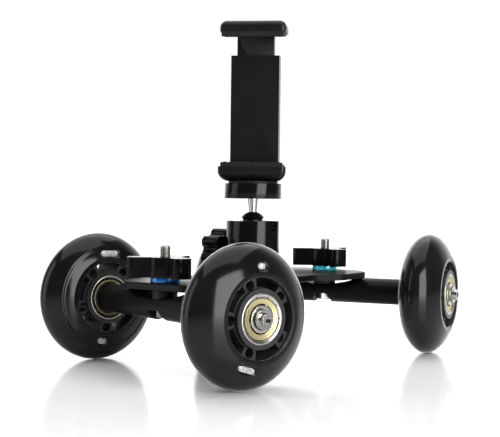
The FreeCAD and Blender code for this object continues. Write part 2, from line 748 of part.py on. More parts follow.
def notch_shoulder(side):
    """What rounds one top corner of the drop notch; side is 1 or -1."""
    name = f"drop_shoulder{side + 1}"
    inner = "dims.drop_half" if side > 0 else "-(dims.drop_half + dims.drop_round)"
    corner = block(name + "_block", ("dims.drop_round", DROP_REACH, "dims.drop_round + 1"),
                   (inner, f"-({DROP_REACH})", "dims.head_top - dims.drop_round"))
    bar = away_rod(name + "_bar", "dims.drop_round", f"{side} * (dims.drop_half + dims.drop_round)",
                   "dims.head_top - dims.drop_round")
    return cut(name, corner, [bar])


def drop_notch():
    """The notch that lets the stem lie down towards -Y."""
    low = away_rod("drop_bottom", "dims.drop_half", "0", "dims.ball_height")
    high = block("drop_slot", ("dims.drop_half * 2", DROP_REACH, "dims.drop_half * 2"),
                 ("-dims.drop_half", f"-({DROP_REACH})", "dims.ball_height"))
    return [low, high, notch_shoulder(-1), notch_shoulder(1)]


def head_housing():
    """The housing: open below for the plug, closed over the ball by its own lip."""
    whole = rod("housing_bar", "dims.head_radius", "dims.head_top - dims.deck_top",
                "dims.deck_top")
    bore = rod("housing_bore", "dims.bore_radius", "dims.bore_top - dims.deck_top",
               "dims.deck_top")
    hollow = ball("housing_ball_hollow", "dims.ball_radius + dims.seat_gap", "dims.ball_height")
    lock_hole = y_rod("housing_lock_hole", "dims.lock_clear", "dims.lock_tip", "dims.lock_start")
    keep(cut("head_housing", whole, [bore, hollow, lock_hole, *drop_notch()]), "head_housing")


def head_plug():
    """The plug that fills the housing's foot and carries the seat."""
    bar = rod("plug_bar", "dims.bore_radius", "dims.plug_top - dims.deck_top", "dims.deck_top")
    bowl = ball("plug_bowl", "dims.ball_radius + dims.seat_gap * 2 + dims.seat_thick",
                "dims.ball_height")
    thread = rod("plug_threaded_hole", "dims.camera_thread", "dims.plug_thread",
                 "dims.deck_top")
    recess = y_rod("plug_recess", "dims.lock_clear * 1.1", "dims.lock_tip - 0.5",
                   "dims.bore_radius + 1")
    keep(cut("head_plug", bar, [bowl, thread, recess]), "head_plug")


def ball_seat():
    """A nylon dish under the ball."""
    outer = ball("seat_outer", "dims.ball_radius + dims.seat_gap + dims.seat_thick",
                 "dims.ball_height")
    slab = rod("seat_slab", "dims.bore_radius", "dims.seat_rim - dims.deck_top", "dims.deck_top")
    inner = ball("seat_inner", "dims.ball_radius + dims.seat_gap", "dims.ball_height")
    keep(cut("ball_seat", common("seat_whole", [outer, slab]), [inner]), "ball_seat")


def head_ball():
    """The ball, with a groove round its neck and a bore for the stem's pin."""
    sphere = ball("ball_sphere", "dims.ball_radius", "dims.ball_height")
    groove = doc.addObject("Part::Torus", "ball_groove")
    bind(groove, Radius1="dims.groove_pitch", Radius2="dims.groove_radius")
    lift(groove, "dims.groove_height")
    bore = rod("ball_bore", "dims.stem_pin + dims.seat_gap", "dims.ball_radius * 2",
               "dims.stem_root - dims.seat_gap")
    keep(cut("head_ball", sphere, [groove, bore]), "head_ball")


def stem():
    """A tapered stem from the ball to the platform."""
    pin = rod("stem_pin_bar", "dims.stem_pin", "dims.stem_foot - dims.stem_root", "dims.stem_root")
    cone = doc.addObject("Part::Cone", "stem_cone")
    bind(cone, Radius1="dims.stem_low", Radius2="dims.stem_high")
    bind(cone, Height="dims.platform_low - dims.stem_foot")
    lift(cone, "dims.stem_foot")
    keep(fuse("stem", [pin, cone]), "stem")


def platform():
    """The round platform, the rubber disc on it and the camera screw through both."""
    plate = rod("platform_plate", "dims.platform_radius", "dims.platform_top - dims.platform_low",
                "dims.platform_low")
    hole = rod("platform_hole", "dims.camera_thread", "dims.platform_top - dims.camera_screw_low",
               "dims.camera_screw_low")
    keep(cut("platform", plate, [hole]), "platform")
    keep(ring("friction_disc", "dims.friction_radius", "dims.camera_thread",
              "dims.clamp_low - dims.platform_top", "dims.platform_top"), "friction_disc")
    keep(rod("camera_screw", "dims.camera_thread",
             "dims.camera_screw_top - dims.camera_screw_low", "dims.camera_screw_low"),
         "camera_screw")


def lock_knob():
    """A six-lobed knob on the lock screw, on the side away from the drop notch."""
    length = "dims.lock_end - dims.lock_start"
    pieces = [rod("lock_grip", "dims.lock_core", length, "dims.lock_start"),
              rod("lock_neck", "dims.lock_neck", "dims.lock_start - dims.lock_neck_start",
                  "dims.lock_neck_start")]
    lobes = int(value("dims.lock_lobes"))
    for lobe in range(lobes):
        angle = math.radians(value("dims.lock_lobe_turn") + 360 * lobe / lobes)
        one = rod(f"lock_lobe{lobe}", "dims.lock_lobe", length, "dims.lock_start")
        one.setExpression("Placement.Base.x", f"dims.lock_lobe_pitch * {math.cos(angle)}")
        one.setExpression("Placement.Base.y", f"dims.lock_lobe_pitch * {math.sin(angle)}")
        pieces.append(one)
    bore = rod("lock_bore", "dims.lock_thread",
               "dims.lock_end - dims.lock_neck_start - dims.lock_cap", "dims.lock_neck_start")
    side = Placement(Vector(0, 0, value("dims.lock_height")), TURN_Z_TO_Y)
    keep(cut("lock_knob", fuse("lock_solid", pieces), [bore]), "lock_knob", side)
    screw = rod("lock_screw_rod", "dims.lock_thread",
                "dims.lock_end - dims.lock_cap - dims.lock_tip", "dims.lock_tip")
    keep(group("lock_screw", [screw]), "lock_screw", side)


# ---------------------------------------------------------------- phone clamp


def front_corners(half):
    """The two upright front corners of a jaw."""
    return [(half, "-dims.jaw_front"), (f"-{half}", "-dims.jaw_front")]


def round_sides(body, name, height, radius):
    """Rounds the long edges down a jaw's two sides at one height."""
    z = value(height)
    edges = []
    for number, edge in enumerate(body.Shape.Edges, start=1):
        start, end = edge.Vertexes[0].Point, edge.Vertexes[-1].Point
        level = abs(start.z - z) < 1e-6 and abs(end.z - z) < 1e-6
        outer = min(abs(start.x), abs(end.x)) > value("dims.spine_half")
        if level and outer and start.x * end.x > 0 and abs(end.y - start.y) > 5:
            edges.append(f"Edge{number}")
    return dress(body, "PartDesign::Fillet", name, edges, Radius=radius)


def clamp_base():
    """The lower jaw and the spine behind the phone, hollow for the tongue and springs."""
    body = doc.addObject("PartDesign::Body", "clamp_base")
    jaw = new_sketch(body, "jaw_outline", height="dims.clamp_low")
    outline(jaw, [("-dims.jaw_half", "-dims.jaw_front"), ("dims.jaw_half", "-dims.jaw_front"),
                  ("dims.jaw_back_half", "dims.jaw_back"),
                  ("-dims.jaw_back_half", "dims.jaw_back")])
    pad(body, "jaw_block", jaw, "dims.jaw_floor - dims.clamp_low")
    round_corners(body, "jaw_front_corners", front_corners("dims.jaw_half"), "dims.jaw_corner")
    spine = new_sketch(body, "spine_outline", height="dims.jaw_floor")
    box_outline(spine, "-dims.spine_half", "dims.spine_half", "dims.spine_front", "dims.jaw_back")
    pad(body, "spine_post", spine, "dims.spine_top - dims.jaw_floor")
    cavity = new_sketch(body, "cavity_outline", height="dims.spine_top")
    half = "dims.tongue_half + dims.slide_clear"
    box_outline(cavity, f"-({half})", half, "dims.tongue_front - dims.slide_clear",
                "dims.jaw_back")
    pocket(body, "cavity", cavity, "dims.spine_top - dims.cavity_low")
    hole = new_sketch(body, "camera_hole_circle", height="dims.clamp_low")
    circle(hole, "dims.camera_thread")
    pocket(body, "camera_hole", hole, "dims.camera_screw_top - dims.clamp_low", flip=True)
    round_sides(body, "jaw_low_corners", "dims.clamp_low", "dims.jaw_round")
    keep(body, "clamp_base", clamp_place())


def clamp_cover():
    """The plate that closes the spine's back."""
    half = "dims.tongue_half + dims.slide_clear"
    front = "dims.tongue_back + dims.slide_clear"
    plate = block("cover_plate", (f"({half}) * 2", f"dims.jaw_back - {front}",
                                  "dims.spine_top - dims.cavity_low"),
                  (f"-({half})", front, "dims.cavity_low"))
    keep(group("clamp_cover", [plate]), "clamp_cover", clamp_place())


def clamp_slider():
    """The upper jaw with its tongue."""
    body = doc.addObject("PartDesign::Body", "clamp_slider")
    jaw = new_sketch(body, "slide_outline", height="dims.slide_roof")
    outline(jaw, [("-dims.slide_half", "-dims.jaw_front"), ("dims.slide_half", "-dims.jaw_front"),
                  ("dims.slide_half", "dims.slide_taper"), ("dims.slide_back_half", "dims.jaw_back"),
                  ("-dims.slide_back_half", "dims.jaw_back"), ("-dims.slide_half", "dims.slide_taper")])
    pad(body, "slide_block", jaw, "dims.slide_top - dims.slide_roof")
    round_corners(body, "slide_front_corners", front_corners("dims.slide_half"), "dims.jaw_corner")
    tongue = new_sketch(body, "tongue_outline", height="dims.tongue_low")
    box_outline(tongue, "-dims.tongue_half", "dims.tongue_half", "dims.tongue_front",
                "dims.tongue_back")
    pad(body, "tongue", tongue, "dims.slide_roof - dims.tongue_low + 1")
    round_sides(body, "slide_top_corners", "dims.slide_top", "dims.slide_round")
    keep(body, "clamp_slider", clamp_place())


def jaw_pad(name, half, floor, lip_low, lip_height):
    """A rubber pad with a lip along a jaw's front; floor and lip_low are heights."""
    lip_back = "dims.pad_lip - dims.jaw_front"
    lip = block(name + "_lip", (f"{half} * 2", "dims.pad_lip", lip_height),
                (f"-{half}", "-dims.jaw_front", lip_low))
    bed = block(name + "_bed", (f"{half} * 2", f"dims.spine_front - ({lip_back})",
                                "dims.pad_thick"), (f"-{half}", lip_back, floor))
    keep(fuse(name, [lip, bed]), name, clamp_place())


def clamp_springs():
    """Two springs that pull the tongue down."""
    coils = []
    middle = "(dims.tongue_front + dims.tongue_back) / 2"
    for side in (-1, 1):
        name = f"spring{side + 1}"
        helix = doc.addObject("Part::Helix", name + "_line")
        bind(helix, Radius="dims.spring_radius", Pitch="dims.spring_pitch")
        bind(helix, Height="dims.tongue_low - dims.cavity_low - dims.spring_wire * 2")
        wire = doc.addObject("Part::Circle", name + "_wire")
        bind(wire, Radius="dims.spring_wire")
        wire.Placement = Placement(Vector(value("dims.spring_radius"), 0, 0), Rotation(ALONG_X, 90))
        coil = doc.addObject("Part::Sweep", name + "_coil")
        coil.Sections = [wire]
        coil.Spine = (helix, ["Edge1"])
        coil.Solid = True
        coil.Frenet = True
        coil.setExpression("Placement.Base.x", f"dims.spring_apart * {side}")
        coil.setExpression("Placement.Base.y", middle)
        coils.append(lift(coil, "dims.cavity_low + dims.spring_wire"))
    keep(group("clamp_springs", coils), "clamp_springs", clamp_place())


# ---------------------------------------------------------------- assembly


def build():
    """Makes every sub-part."""
    deck_plate()
    head_screw()
    pivot_rings("pivot_spacers", "dims.spacer_radius", "dims.beam_flat", "dims.deck_low")
    pivot_rings("pivot_washers", "dims.washer_radius", "dims.deck_top", "dims.washer_top")
    for end in END_SIGN:
        beam(end)
        pivot_bolt(end)
        pivot_knob(end)
        for side in SIDE_SIGN:
            wheel(end, side)
    head_housing()
    head_plug()
    ball_seat()
    head_ball()
    stem()
    platform()
    lock_knob()
    clamp_base()
    clamp_cover()
    clamp_slider()
    jaw_pad("lower_pad", "dims.low_pad_half", "dims.jaw_floor", "dims.jaw_floor",
            "dims.low_pad_lip")
    jaw_pad("upper_pad", "dims.high_pad_half", "dims.slide_roof - dims.pad_thick",
            "dims.slide_roof - dims.high_pad_lip", "dims.high_pad_lip")
    clamp_springs()
    doc.recompute()


def check():
    """Stops if an object failed or a sub-part is not a valid shape."""
    for obj in doc.Objects:
        if "Invalid" in obj.State or "Error" in obj.State:
            raise ValueError(f"{obj.Name} failed: {obj.State}")
    for obj in PARTS:
        if obj.Shape.isNull() or not obj.Shape.isValid() or obj.Shape.Volume <= 0:
            raise ValueError(f"{obj.Label} is not a valid solid")


def export():
    """Writes each sub-part to its own file."""
    os.makedirs("parts", exist_ok=True)
    for obj in PARTS:
        obj.Shape.exportStep(f"parts/{obj.Label}.step")
        print(obj.Label, len(obj.Shape.Solids), round(obj.Shape.Volume, 1))
    print(len(PARTS), "sub-parts")


build()
check()
export()
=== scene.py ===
"""Looks for the phone dolly: its finishes, its finely shaped pieces, the studio and the camera."""

import json
import math

import bpy
from mathutils import Matrix, Vector


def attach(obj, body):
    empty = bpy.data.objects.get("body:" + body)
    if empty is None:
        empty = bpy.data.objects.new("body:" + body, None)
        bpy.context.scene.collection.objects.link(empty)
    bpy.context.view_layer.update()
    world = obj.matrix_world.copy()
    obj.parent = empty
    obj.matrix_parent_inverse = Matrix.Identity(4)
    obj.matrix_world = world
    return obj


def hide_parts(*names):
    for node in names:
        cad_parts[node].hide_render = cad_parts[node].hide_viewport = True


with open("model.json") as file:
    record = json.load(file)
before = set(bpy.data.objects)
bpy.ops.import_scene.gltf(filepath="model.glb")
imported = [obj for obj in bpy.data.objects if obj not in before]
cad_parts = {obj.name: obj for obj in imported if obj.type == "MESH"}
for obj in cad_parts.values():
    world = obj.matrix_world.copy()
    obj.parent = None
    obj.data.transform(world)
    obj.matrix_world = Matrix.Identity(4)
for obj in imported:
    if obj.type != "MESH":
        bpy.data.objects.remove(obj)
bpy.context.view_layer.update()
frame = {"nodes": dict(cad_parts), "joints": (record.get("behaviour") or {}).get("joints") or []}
nodes = frame["nodes"]
joints = {joint["name"]: joint for joint in frame["joints"]}

MM = 0.001
ENDS = ("rear", "front")
SIDES = {"left": 1, "right": -1}

# ------------------------------------------------------------------ materials


def links_of(material):
    """The node tree, its links, and the surface shader."""
    tree = material.node_tree
    shader = next(node for node in tree.nodes if node.type == "BSDF_PRINCIPLED")
    return tree, tree.links, shader


def noise(tree, scale, detail=4.0, stretch=None):
    """Noise on the piece's own coordinates, finer with scale, in waves per metre."""
    place = tree.nodes.new("ShaderNodeTexCoord")
    texture = tree.nodes.new("ShaderNodeTexNoise")
    texture.inputs["Scale"].default_value = scale
    texture.inputs["Detail"].default_value = detail
    vector = place.outputs["Object"]
    if stretch:
        mapping = tree.nodes.new("ShaderNodeMapping")
        mapping.inputs["Scale"].default_value = stretch
        tree.links.new(vector, mapping.inputs["Vector"])
        vector = mapping.outputs["Vector"]
    tree.links.new(vector, texture.inputs["Vector"])
    return texture.outputs["Fac"]


def spread(tree, source, low, high, start=0.3, end=0.7):
    """Maps noise to the range from low to high."""
    node = tree.nodes.new("ShaderNodeMapRange")
    node.inputs["From Min"].default_value = start
    node.inputs["From Max"].default_value = end
    node.inputs["To Min"].default_value = low
    node.inputs["To Max"].default_value = high
    tree.links.new(source, node.inputs["Value"])
    return node.outputs["Result"]


def blend_colours(tree, factor, first, second):
    """Mixes two colours by a factor."""
    node = tree.nodes.new("ShaderNodeMix")
    node.data_type = "RGBA"
    node.inputs["A"].default_value = (*first, 1)
    node.inputs["B"].default_value = (*second, 1)
    tree.links.new(factor, node.inputs["Factor"])
    return node.outputs["Result"]


def worn_edges(tree, radius=0.0003):
    """Rises from 0 to 1 where a rounded copy of the surface would turn away from the real one."""
    geometry = tree.nodes.new("ShaderNodeNewGeometry")
    rounded_copy = tree.nodes.new("ShaderNodeBevel")
    rounded_copy.samples = 4
    rounded_copy.inputs["Radius"].default_value = radius
    match = tree.nodes.new("ShaderNodeVectorMath")
    match.operation = "DOT_PRODUCT"
    tree.links.new(geometry.outputs["Normal"], match.inputs[0])
    tree.links.new(rounded_copy.outputs["Normal"], match.inputs[1])
    return spread(tree, match.outputs["Value"], 1.0, 0.0, 0.8, 0.98)


def bump(tree, shader, height, strength, distance):
    """Fine relief."""
    node = tree.nodes.new("ShaderNodeBump")
    node.inputs["Strength"].default_value = strength
    node.inputs["Distance"].default_value = distance
    tree.links.new(height, node.inputs["Height"])
    tree.links.new(node.outputs["Normal"], shader.inputs["Normal"])


def finish(name, colour, second, rough, metallic=0.0, patch=90.0, grain=2500.0, relief=0.02,
           depth=0.00005, coat=0.0, wear=None, specular=0.5, stretch=None, sheen=0.0):
    """A procedural finish: two close tones, roughness that varies, fine relief, worn edges."""
    material = bpy.data.materials.new(name)
    material.use_nodes = True
    tree, links, shader = links_of(material)
    shader.inputs["Metallic"].default_value = metallic
    shader.inputs["Coat Weight"].default_value = coat
    shader.inputs["Coat Roughness"].default_value = 0.06
    shader.inputs["Specular IOR Level"].default_value = specular
    shader.inputs["Sheen Weight"].default_value = sheen
    shader.inputs["Sheen Roughness"].default_value = 0.2
    broad = noise(tree, patch, 3.0)
    fine = noise(tree, grain, 5.0, stretch)
    tone = blend_colours(tree, spread(tree, broad, 0.0, 1.0), colour, second)
    if wear:
        mix = tree.nodes.new("ShaderNodeMix")
        mix.data_type = "RGBA"
        mix.inputs["B"].default_value = (*wear, 1)
        edge = tree.nodes.new("ShaderNodeMath")
        edge.operation = "MULTIPLY"
        links.new(worn_edges(tree), edge.inputs[0])
        links.new(spread(tree, noise(tree, 700.0), 0.0, 0.7), edge.inputs[1])
        links.new(edge.outputs[0], mix.inputs["Factor"])
        links.new(tone, mix.inputs["A"])
        tone = mix.outputs["Result"]
    links.new(tone, shader.inputs["Base Color"])
    links.new(spread(tree, fine, rough[0], rough[1]), shader.inputs["Roughness"])
    bump(tree, shader, fine, relief, depth)
    return material


URETHANE = finish("smoky_urethane", (0.003, 0.003, 0.003), (0.006, 0.006, 0.006), (0.1, 0.17),
                  patch=60, grain=1400, relief=0.012, specular=0.2, sheen=0.9)
CORE = finish("satin_core", (0.011, 0.011, 0.011), (0.016, 0.016, 0.016), (0.32, 0.44),
              grain=1800, relief=0.04, specular=0.35, wear=(0.05, 0.05, 0.05))
STEEL = finish("ground_steel", (0.36, 0.35, 0.32), (0.46, 0.45, 0.42), (0.22, 0.34), 1.0,
               grain=3500, relief=0.03, wear=(0.6, 0.6, 0.6))
CHROME = finish("chrome", (0.3, 0.3, 0.3), (0.38, 0.38, 0.38), (0.05, 0.1), 1.0,
                grain=3000, relief=0.01, wear=(0.7, 0.7, 0.7))
SHIELD = finish("zinc_shield", (0.38, 0.32, 0.17), (0.45, 0.39, 0.21), (0.34, 0.44), 0.75,
                grain=2600, relief=0.01)
PITS = finish("dark_pits", (0.01, 0.009, 0.007), (0.02, 0.018, 0.014), (0.5, 0.6), grain=2600)
# Painted shade: a near-black finish for the ring that darkens the bearing face which the beam's arm
# shades.
SHADE_RING = finish("black_seal", (0.004, 0.004, 0.004), (0.008, 0.008, 0.008), (0.4, 0.5),
              grain=2600, specular=0.25)
ZINC = finish("zinc_bolt", (0.24, 0.24, 0.23), (0.34, 0.33, 0.32), (0.26, 0.4), 1.0,
              grain=2200, relief=0.04, wear=(0.6, 0.6, 0.6))
BRASS = finish("brass", (0.5, 0.34, 0.13), (0.6, 0.44, 0.2), (0.2, 0.34), 1.0,
               grain=2600, relief=0.03)
SATIN_DECK = finish("black_anodised", (0.002, 0.002, 0.002), (0.004, 0.004, 0.004), (0.3, 0.4),
                    patch=40, grain=4200, relief=0.04, specular=0.12, wear=(0.08, 0.08, 0.08))
BEAM = finish("satin_beam", (0.002, 0.002, 0.002), (0.004, 0.004, 0.004), (0.34, 0.44),
              patch=50, grain=3600, relief=0.03, specular=0.1, wear=(0.05, 0.05, 0.05))
GLOSS_HEAD = finish("gloss_anodised", (0.002, 0.002, 0.002), (0.003, 0.003, 0.003), (0.1, 0.16),
                    patch=70, grain=5000, relief=0.01, specular=0.17, wear=(0.06, 0.06, 0.06))
BALL = finish("ball_black", (0.002, 0.002, 0.002), (0.004, 0.004, 0.004), (0.22, 0.36),
              grain=4000, relief=0.03, specular=0.25)
# Painted light: one blue anodised washer in two copies, a darker deep blue for shade and a brighter
# cyan for where light falls.
WASHER_PAINTED_SHADE = finish("washer_anodised_painted_shade", (0.0, 0.1, 0.4), (0.0, 0.16, 0.52), (0.12, 0.2), 0.25,
                     patch=200, grain=4000, relief=0.02, coat=0.2)
WASHER_PAINTED_LIT = finish("washer_anodised_painted_lit", (0.08, 0.68, 0.92), (0.12, 0.78, 0.98), (0.14, 0.22), 0.1,
                     patch=200, grain=4000, relief=0.02, coat=0.2)
KNOB = finish("moulded_knob", (0.002, 0.002, 0.002), (0.004, 0.004, 0.004), (0.14, 0.22),
              grain=2400, relief=0.03, specular=0.09, wear=(0.04, 0.04, 0.04))
SPACER = finish("black_spacer", (0.006, 0.006, 0.006), (0.012, 0.012, 0.012), (0.4, 0.55),
                grain=2600, relief=0.05, specular=0.2)
CLAMP = finish("grained_clamp", (0.003, 0.003, 0.003), (0.005, 0.005, 0.005), (0.3, 0.42),
               patch=60, grain=5200, relief=0.16, depth=0.00008, specular=0.17,
               wear=(0.02, 0.02, 0.02))
RUBBER = finish("jaw_rubber", (0.003, 0.003, 0.003), (0.006, 0.006, 0.006), (0.5, 0.65),
                grain=3800, relief=0.16, depth=0.00008, specular=0.2)
NYLON = finish("nylon", (0.68, 0.67, 0.62), (0.76, 0.75, 0.7), (0.4, 0.55), grain=2600)
LENS = finish("pale_lens", (0.14, 0.14, 0.14), (0.44, 0.44, 0.45), (0.12, 0.3), patch=900,
              grain=1500, relief=0.2, coat=0.25)

NODE_FINISH = {
    "deck_plate": SATIN_DECK, "head_screw": ZINC, "pivot_spacers": SPACER,
    "pivot_washers": WASHER_PAINTED_SHADE,
    "head_housing": GLOSS_HEAD, "head_plug": GLOSS_HEAD, "ball_seat": NYLON, "head_ball": BALL,
    "stem": CHROME, "platform": GLOSS_HEAD, "friction_disc": RUBBER, "camera_screw": ZINC,
    "lock_knob": KNOB, "lock_screw": ZINC, "clamp_base": CLAMP, "clamp_cover": CLAMP,
    "clamp_slider": CLAMP, "lower_pad": RUBBER, "upper_pad": RUBBER, "clamp_springs": STEEL,
}
END_FINISH = {"beam": BEAM, "pivot_bolt": ZINC, "pivot_knob": KNOB, "pivot_knob_insert": BRASS}
WHEEL_FINISH = {"tyre": URETHANE, "core": CORE, "bearing_outers": STEEL, "bearing_inners": STEEL,
                "bearing_balls": CHROME, "bearing_shields": SHIELD, "axle_sleeve": STEEL,
                "axle_screw": CHROME}
for end in ENDS:
    for kind, material in END_FINISH.items():
        NODE_FINISH[f"{end}_{kind}"] = material
    for side in SIDES:
        for kind, material in WHEEL_FINISH.items():
            NODE_FINISH[f"{end}_{side}_{kind}"] = material

# ------------------------------------------------------------------ CAD nodes

EDGE = {"deck_plate": 0.25, "head_housing": 0.45, "platform": 0.5, "lock_knob": 0.7,
        "clamp_base": 0.5, "clamp_slider": 0.5, "clamp_cover": 0.2, "friction_disc": 0.15,
        "pivot_spacers": 0.2, "head_screw": 0.3, "rear_beam": 0.3, "front_beam": 0.3,
        "rear_pivot_knob": 0.55, "front_pivot_knob": 0.55,
        "rear_pivot_knob_insert": 0.15, "front_pivot_knob_insert": 0.15}
CORE_EDGE, AXLE_SCREW_EDGE = 0.3, 0.4


def soften(piece, width):
    """Rounds a CAD node's sharp edges for the look alone."""
    weld = piece.modifiers.new("weld", "WELD")
    weld.merge_threshold = 0.000002
    bevel = piece.modifiers.new("edges", "BEVEL")
    bevel.width = width * MM
    bevel.segments = 3
    bevel.limit_method = "ANGLE"
    bevel.angle_limit = math.radians(38)
    bevel.harden_normals = True
    bevel.use_clamp_overlap = True


for name, piece in nodes.items():
    piece.data.materials.clear()
    piece.data.materials.append(NODE_FINISH[name])
    if name.endswith("_core"):
        soften(piece, CORE_EDGE)
    elif name.endswith("_axle_screw"):
        soften(piece, AXLE_SCREW_EDGE)
    elif name in EDGE:
        soften(piece, EDGE[name])

# ------------------------------------------------------------------ making pieces


def new_piece(name, verts, faces, material):
    """A smooth mesh object from vertices and faces."""
    mesh = bpy.data.meshes.new(name)
    mesh.from_pydata([tuple(vert) for vert in verts], [], faces)
    mesh.validate()
    mesh.materials.append(material)
    mesh.shade_smooth()
    piece = bpy.data.objects.new(name, mesh)
    bpy.context.scene.collection.objects.link(piece)
    return piece


def skin(base, rows, count):
    """Faces that join one more ring of points than rows; each ring has count points."""
    faces = []
    for row in range(rows):
        here = base + row * count
        for step in range(count):
            a, b = here + step, here + (step + 1) % count
            faces.append((a, b, b + count, a + count))
    return faces


def cap(start, count):
    """One face over a ring of points."""
    return tuple(range(start, start + count))


def lathe(name, rings, steps, material, place, warp=None):
    """Closed profiles of (radius, height) in millimetres turned about local Z."""
    verts, faces = [], []
    for profile in rings:
        base, count = len(verts), len(profile)
        for step in range(steps):
            angle = 2 * math.pi * step / steps
            for radius, height in profile:
                if warp:
                    radius, height = warp(angle, radius, height)
                spot = Vector((radius * math.cos(angle), radius * math.sin(angle), height)) * MM
                verts.append(place @ spot)
        for step in range(steps):
            here, there = base + step * count, base + (step + 1) % steps * count
            for index in range(count):
                after = (index + 1) % count
                faces.append((here + index, there + index, there + after, here + after))
    return new_piece(name, verts, faces, material)


def rounded(corners, radius, steps=4):
    """A closed profile with its corners rounded; a corner may carry its own radius."""
    points = []
    count = len(corners)
    for index in range(count):
        here = Vector(corners[index][:2])
        before = Vector(corners[index - 1][:2])
        after = Vector(corners[(index + 1) % count][:2])
        size = corners[index][2] if len(corners[index]) > 2 else radius
        to_before, to_after = (before - here), (after - here)
        reach = min(size, to_before.length * 0.45, to_after.length * 0.45)
        start = here + to_before.normalized() * reach
        end = here + to_after.normalized() * reach
        for step in range(steps + 1):
            t = step / steps
            points.append(tuple(start.lerp(here, t).lerp(here.lerp(end, t), t)))
    return points


# ------------------------------------------------------------------ wheels


def wheel_frame(end, side):
    """The wheel's frame, at its centre: Z outwards, X level and towards the rear."""
    joint = joints[f"{end}_{side}_spin"]
    outwards = Vector(joint["axis"]).normalized() * SIDES[side]
    up = Vector((0, 0, 1))
    across = outwards.cross(up) * -SIDES[side]
    axis_y = outwards.cross(across)
    turn = Matrix((across, axis_y, outwards)).transposed().to_4x4()
    return Matrix.Translation(Vector(joint["pos_m"])) @ turn


TYRE_RADIUS, TYRE_BULGE, TYRE_HALF = 32.0, 14.9, 11.6
RIM, RIM_FACE, LIP = 18.6, 11.0, 17.75
SLOT_RING, SLOT_HALF_WIDTH, SLOT_DEPTH = 22.0, 1.9, 1.0
STEP_RING, STEP_DEPTH = 25.2, 0.45
LENSES = {"rear_right": ((73, 5.2), (267, 2.4)), "rear_left": ((92, 5.6), (278, 3.0)),
          "front_right": ((122, 4.6),), "front_left": ((70, 4.6), (250, 4.6))}


def tyre_profile():
    """The tyre's section: an ellipse cut by two flat faces, bored for the rim."""
    face = TYRE_HALF / TYRE_BULGE
    profile = []
    for step in range(121):
        angle = -math.pi / 2 + math.pi * step / 120
        height = TYRE_BULGE * math.sin(angle)
        radius = TYRE_RADIUS * math.cos(angle)
        if abs(height) < TYRE_HALF - 0.02:
            profile.append((radius, height))
    top = TYRE_RADIUS * math.sqrt(1 - face ** 2)
    side = [(top + (LIP + 0.5 - top) * k / 6, TYRE_HALF) for k in range(7)]
    lip = [(LIP + 0.15, TYRE_HALF - 0.1), (LIP, TYRE_HALF - 0.3), (LIP, RIM_FACE), (RIM, RIM_FACE)]
    upper = side + lip
    return profile + upper + [(r, -h) for r, h in reversed(upper)]


def centred(angle, pitch):
    """An angle's distance from the nearest multiple of a pitch."""
    return (angle + pitch / 2) % pitch - pitch / 2


def slot_depth(turn, radius, half_length):
    """From 0 on the tyre's side to 1 in a slot; turn is the angle from the slot's middle."""
    straight = max(0.0, abs(turn * SLOT_RING) - (half_length - SLOT_HALF_WIDTH))
    away = math.hypot(straight, radius - SLOT_RING) / SLOT_HALF_WIDTH
    fall = min(1.0, max(0.0, (1.25 - away) / 0.5))
    return fall * fall * (3 - 2 * fall)


def tyre_shape(lenses):
    """Sinks the lenses' slots in both sides, and a step in the inner side."""
    def warp(angle, radius, height):
        if radius > 29 or abs(height) < 6:
            return radius, height
        sink = max(SLOT_DEPTH * slot_depth(centred(angle - math.radians(turn), 2 * math.pi),
                                           radius, half) for turn, half in lenses)
        if height < 0:
            sink += STEP_DEPTH * min(1.0, max(0.0, (STEP_RING - radius) / 0.5))
        return radius, height - math.copysign(sink, height)
    return warp


LENS_POINTS, LENS_ROWS = 40, 8
LENS_SUNK, LENS_RISE = 0.3, 0.95
LENS_RIB, LENS_RIB_TURN = 0.12, 4.2


def lens_shape(side, turn, half_length, base):
    """A pillow in a slot, with faint ribs across it: vertices in the wheel's frame, and faces."""
    floor = TYRE_BULGE * math.sqrt(1 - (SLOT_RING / TYRE_RADIUS) ** 2) - SLOT_DEPTH
    straight = max(0.0, half_length - SLOT_HALF_WIDTH)
    spots = []
    for row in range(LENS_ROWS + 1):
        rise = math.sin(math.pi / 2 * row / LENS_ROWS)
        size = math.cos(math.pi / 2 * row / LENS_ROWS) * 0.88 + 0.02
        for step in range(LENS_POINTS):
            spin = 2 * math.pi * step / LENS_POINTS
            radius = SLOT_RING + math.cos(spin) * SLOT_HALF_WIDTH * size
            along = math.sin(spin) * SLOT_HALF_WIDTH * size
            along += math.copysign(straight, math.sin(spin)) * size
            rib = LENS_RIB * math.cos(along * LENS_RIB_TURN) * rise
            height = side * (floor - LENS_SUNK + rise * LENS_RISE + rib)
            angle = math.radians(turn) + along / SLOT_RING
            spots.append(Vector((radius * math.cos(angle), radius * math.sin(angle), height)))
    faces = skin(base, LENS_ROWS, LENS_POINTS)
    faces.append(cap(base + LENS_ROWS * LENS_POINTS, LENS_POINTS))
    faces.append(cap(base, LENS_POINTS)[::-1])
    return spots, faces


def lens_pieces(name, lenses, place):
    """The pale inserts in both sides of one tyre."""
    verts, faces = [], []
    for side in (-1, 1):
        for turn, half_length in lenses:
            spots, more = lens_shape(side, turn, half_length, len(verts))
            verts += [place @ (spot * MM) for spot in spots]
            faces += more
    return new_piece(name, verts, faces, LENS)


BEARINGS = ((-12.0, -5.0), (5.0, 12.0))
PIT_RING, PIT_RADIUS, PIT_COUNT, PIT_POINTS = 9.55, 0.34, 10, 12
PIT_FLOOR, PIT_THICKNESS = 11.78, 0.14


